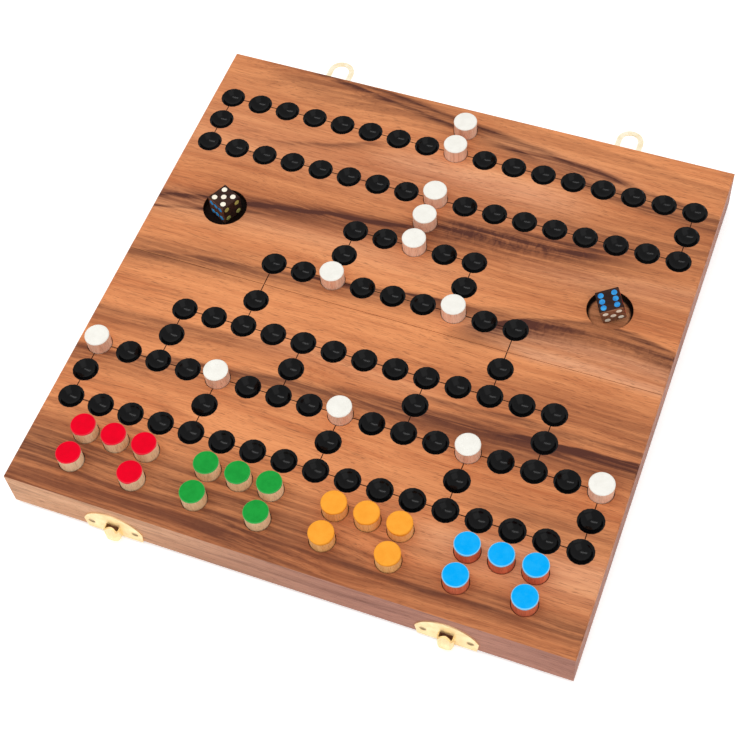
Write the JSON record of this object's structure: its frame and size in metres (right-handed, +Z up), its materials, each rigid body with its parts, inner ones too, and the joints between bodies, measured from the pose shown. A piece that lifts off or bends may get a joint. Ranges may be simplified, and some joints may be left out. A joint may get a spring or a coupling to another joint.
{
  "type": "folding game board",
  "caption": "Folding wooden peg game board: two hollow trays hinged rim to rim, holed playing surface outside, pegs, dice in wells and ring latches.",
  "frame": {"origin": "middle of the open board's footprint, latch hoods and swung-out rings included, on the table under the hinge knuckles", "axes": "+X along the fold towards the right, +Y towards the half with the dice wells and the rings, +Z up from the playing surface"},
  "size_m": [0.2924, 0.3246, 0.0398],
  "materials": {
    "playing_surface_wood": "oiled, low sheen",
    "rail_wood": "oiled, matt",
    "brass": "polished",
    "white_painted_dowel": "painted top on bare wood",
    "red_painted_dowel": "painted top on bare wood",
    "green_painted_dowel": "painted top on bare wood",
    "orange_painted_dowel": "painted top on bare wood",
    "blue_painted_dowel": "painted top on bare wood",
    "dark_wood": "satin"
  },
  "bodies": {
    "near_half": {"near_panel": "playing_surface_wood", "near_front_rail": "rail_wood", "near_left_rail": "rail_wood", "near_right_rail": "rail_wood", "near_seam_rail": "rail_wood", "near_hinge_leaves": "brass", "near_hinge_screws": "brass", "hinge_pins": "brass", "catch_plate_left": "brass", "catch_plate_right": "brass", "catch_plate_nails": "brass"},
    "far_half": {"far_panel": "playing_surface_wood", "far_back_rail": "rail_wood", "far_left_rail": "rail_wood", "far_right_rail": "rail_wood", "far_seam_rail": "rail_wood", "far_hinge_leaves": "brass", "far_hinge_screws": "brass", "hasp_plate_left": "brass", "hasp_plate_right": "brass", "hasp_plate_nails": "brass", "hasp_pins": "brass"},
    "hasp_ring_left": {"hasp_ring_left": "brass"},
    "hasp_ring_right": {"hasp_ring_right": "brass"},
    "white_blocker_1": {"white_blocker_1": "white_painted_dowel"},
    "white_blocker_2": {"white_blocker_2": "white_painted_dowel"},
    "white_blocker_3": {"white_blocker_3": "white_painted_dowel"},
    "white_blocker_4": {"white_blocker_4": "white_painted_dowel"},
    "white_blocker_5": {"white_blocker_5": "white_painted_dowel"},
    "white_blocker_6": {"white_blocker_6": "white_painted_dowel"},
    "white_blocker_7": {"white_blocker_7": "white_painted_dowel"},
    "white_blocker_8": {"white_blocker_8": "white_painted_dowel"},
    "white_blocker_9": {"white_blocker_9": "white_painted_dowel"},
    "white_blocker_10": {"white_blocker_10": "white_painted_dowel"},
    "white_blocker_11": {"white_blocker_11": "white_painted_dowel"},
    "white_blocker_12": {"white_blocker_12": "white_painted_dowel"},
    "red_peg_1": {"red_peg_1": "red_painted_dowel"},
    "red_peg_2": {"red_peg_2": "red_painted_dowel"},
    "red_peg_3": {"red_peg_3": "red_painted_dowel"},
    "red_peg_4": {"red_peg_4": "red_painted_dowel"},
    "red_peg_5": {"red_peg_5": "red_painted_dowel"},
    "green_peg_1": {"green_peg_1": "green_painted_dowel"},
    "green_peg_2": {"green_peg_2": "green_painted_dowel"},
    "green_peg_3": {"green_peg_3": "green_painted_dowel"},
    "green_peg_4": {"green_peg_4": "green_painted_dowel"},
    "green_peg_5": {"green_peg_5": "green_painted_dowel"},
    "orange_peg_1": {"orange_peg_1": "orange_painted_dowel"},
    "orange_peg_2": {"orange_peg_2": "orange_painted_dowel"},
    "orange_peg_3": {"orange_peg_3": "orange_painted_dowel"},
    "orange_peg_4": {"orange_peg_4": "orange_painted_dowel"},
    "orange_peg_5": {"orange_peg_5": "orange_painted_dowel"},
    "blue_peg_1": {"blue_peg_1": "blue_painted_dowel"},
    "blue_peg_2": {"blue_peg_2": "blue_painted_dowel"},
    "blue_peg_3": {"blue_peg_3": "blue_painted_dowel"},
    "blue_peg_4": {"blue_peg_4": "blue_painted_dowel"},
    "blue_peg_5": {"blue_peg_5": "blue_painted_dowel"},
    "die_left": {"die_left": "dark_wood"},
    "die_right": {"die_right": "dark_wood"}
  },
  "joints": [
    {"name": "board_fold", "type": "hinge", "parent": "near_half", "child": "far_half", "pos_m": [0, -0.0099, 0.0016], "axis": [-1, 0, 0], "range_deg": [0, 180]},
    {"name": "left_hasp_swing", "type": "hinge", "parent": "far_half", "child": "hasp_ring_left", "pos_m": [-0.0895, 0.1391, 0.01085], "axis": [-1, 0, 0], "range_deg": [-90, 90]},
    {"name": "right_hasp_swing", "type": "hinge", "parent": "far_half", "child": "hasp_ring_right", "pos_m": [0.0845, 0.1391, 0.01085], "axis": [-1, 0, 0], "range_deg": [-90, 90]},
    {"name": "white_blocker_1_lift", "type": "slide", "parent": "near_half", "child": "white_blocker_1", "axis": [0, 0, 1], "range_m": [0, 0.03]},
    {"name": "white_blocker_2_lift", "type": "slide", "parent": "near_half", "child": "white_blocker_2", "axis": [0, 0, 1], "range_m": [0, 0.03]},
    {"name": "white_blocker_3_lift", "type": "slide", "parent": "near_half", "child": "white_blocker_3", "axis": [0, 0, 1], "range_m": [0, 0.03]},
    {"name": "white_blocker_4_lift", "type": "slide", "parent": "near_half", "child": "white_blocker_4", "axis": [0, 0, 1], "range_m": [0, 0.03]},
    {"name": "white_blocker_5_lift", "type": "slide", "parent": "near_half", "child": "white_blocker_5", "axis": [0, 0, 1], "range_m": [0, 0.03]},
    {"name": "white_blocker_6_lift", "type": "slide", "parent": "far_half", "child": "white_blocker_6", "axis": [0, 0, 1], "range_m": [0, 0.03]},
    {"name": "white_blocker_7_lift", "type": "slide", "parent": "far_half", "child": "white_blocker_7", "axis": [0, 0, 1], "range_m": [0, 0.03]},
    {"name": "white_blocker_8_lift", "type": "slide", "parent": "far_half", "child": "white_blocker_8", "axis": [0, 0, 1], "range_m": [0, 0.03]},
    {"name": "white_blocker_9_lift", "type": "slide", "parent": "far_half", "child": "white_blocker_9", "axis": [0, 0, 1], "range_m": [0, 0.03]},
    {"name": "white_blocker_10_lift", "type": "slide", "parent": "far_half", "child": "white_blocker_10", "axis": [0, 0, 1], "range_m": [0, 0.03]},
    {"name": "white_blocker_11_lift", "type": "slide", "parent": "far_half", "child": "white_blocker_11", "axis": [0, 0, 1], "range_m": [0, 0.03]},
    {"name": "white_blocker_12_lift", "type": "slide", "parent": "far_half", "child": "white_blocker_12", "axis": [0, 0, 1], "range_m": [0, 0.03]},
    {"name": "red_peg_1_lift", "type": "slide", "parent": "near_half", "child": "red_peg_1", "axis": [0, 0, 1], "range_m": [0, 0.03]},
    {"name": "red_peg_2_lift", "type": "slide", "parent": "near_half", "child": "red_peg_2", "axis": [0, 0, 1], "range_m": [0, 0.03]},
    {"name": "red_peg_3_lift", "type": "slide", "parent": "near_half", "child": "red_peg_3", "axis": [0, 0, 1], "range_m": [0, 0.03]},
    {"name": "red_peg_4_lift", "type": "slide", "parent": "near_half", "child": "red_peg_4", "axis": [0, 0, 1], "range_m": [0, 0.03]},
    {"name": "red_peg_5_lift", "type": "slide", "parent": "near_half", "child": "red_peg_5", "axis": [0, 0, 1], "range_m": [0, 0.03]},
    {"name": "green_peg_1_lift", "type": "slide", "parent": "near_half", "child": "green_peg_1", "axis": [0, 0, 1], "range_m": [0, 0.03]},
    {"name": "green_peg_2_lift", "type": "slide", "parent": "near_half", "child": "green_peg_2", "axis": [0, 0, 1], "range_m": [0, 0.03]},
    {"name": "green_peg_3_lift", "type": "slide", "parent": "near_half", "child": "green_peg_3", "axis": [0, 0, 1], "range_m": [0, 0.03]},
    {"name": "green_peg_4_lift", "type": "slide", "parent": "near_half", "child": "green_peg_4", "axis": [0, 0, 1], "range_m": [0, 0.03]},
    {"name": "green_peg_5_lift", "type": "slide", "parent": "near_half", "child": "green_peg_5", "axis": [0, 0, 1], "range_m": [0, 0.03]},
    {"name": "orange_peg_1_lift", "type": "slide", "parent": "near_half", "child": "orange_peg_1", "axis": [0, 0, 1], "range_m": [0, 0.03]},
    {"name": "orange_peg_2_lift", "type": "slide", "parent": "near_half", "child": "orange_peg_2", "axis": [0, 0, 1], "range_m": [0, 0.03]},
    {"name": "orange_peg_3_lift", "type": "slide", "parent": "near_half", "child": "orange_peg_3", "axis": [0, 0, 1], "range_m": [0, 0.03]},
    {"name": "orange_peg_4_lift", "type": "slide", "parent": "near_half", "child": "orange_peg_4", "axis": [0, 0, 1], "range_m": [0, 0.03]},
    {"name": "orange_peg_5_lift", "type": "slide", "parent": "near_half", "child": "orange_peg_5", "axis": [0, 0, 1], "range_m": [0, 0.03]},
    {"name": "blue_peg_1_lift", "type": "slide", "parent": "near_half", "child": "blue_peg_1", "axis": [0, 0, 1], "range_m": [0, 0.03]},
    {"name": "blue_peg_2_lift", "type": "slide", "parent": "near_half", "child": "blue_peg_2", "axis": [0, 0, 1], "range_m": [0, 0.03]},
    {"name": "blue_peg_3_lift", "type": "slide", "parent": "near_half", "child": "blue_peg_3", "axis": [0, 0, 1], "range_m": [0, 0.03]},
    {"name": "blue_peg_4_lift", "type": "slide", "parent": "near_half", "child": "blue_peg_4", "axis": [0, 0, 1], "range_m": [0, 0.03]},
    {"name": "blue_peg_5_lift", "type": "slide", "parent": "near_half", "child": "blue_peg_5", "axis": [0, 0, 1], "range_m": [0, 0.03]},
    {"name": "die_left_lift", "type": "slide", "parent": "far_half", "child": "die_left", "axis": [0, 0, 1], "range_m": [0, 0.03]},
    {"name": "die_right_lift", "type": "slide", "parent": "far_half", "child": "die_right", "axis": [0, 0, 1], "range_m": [0, 0.03]}
  ]
}
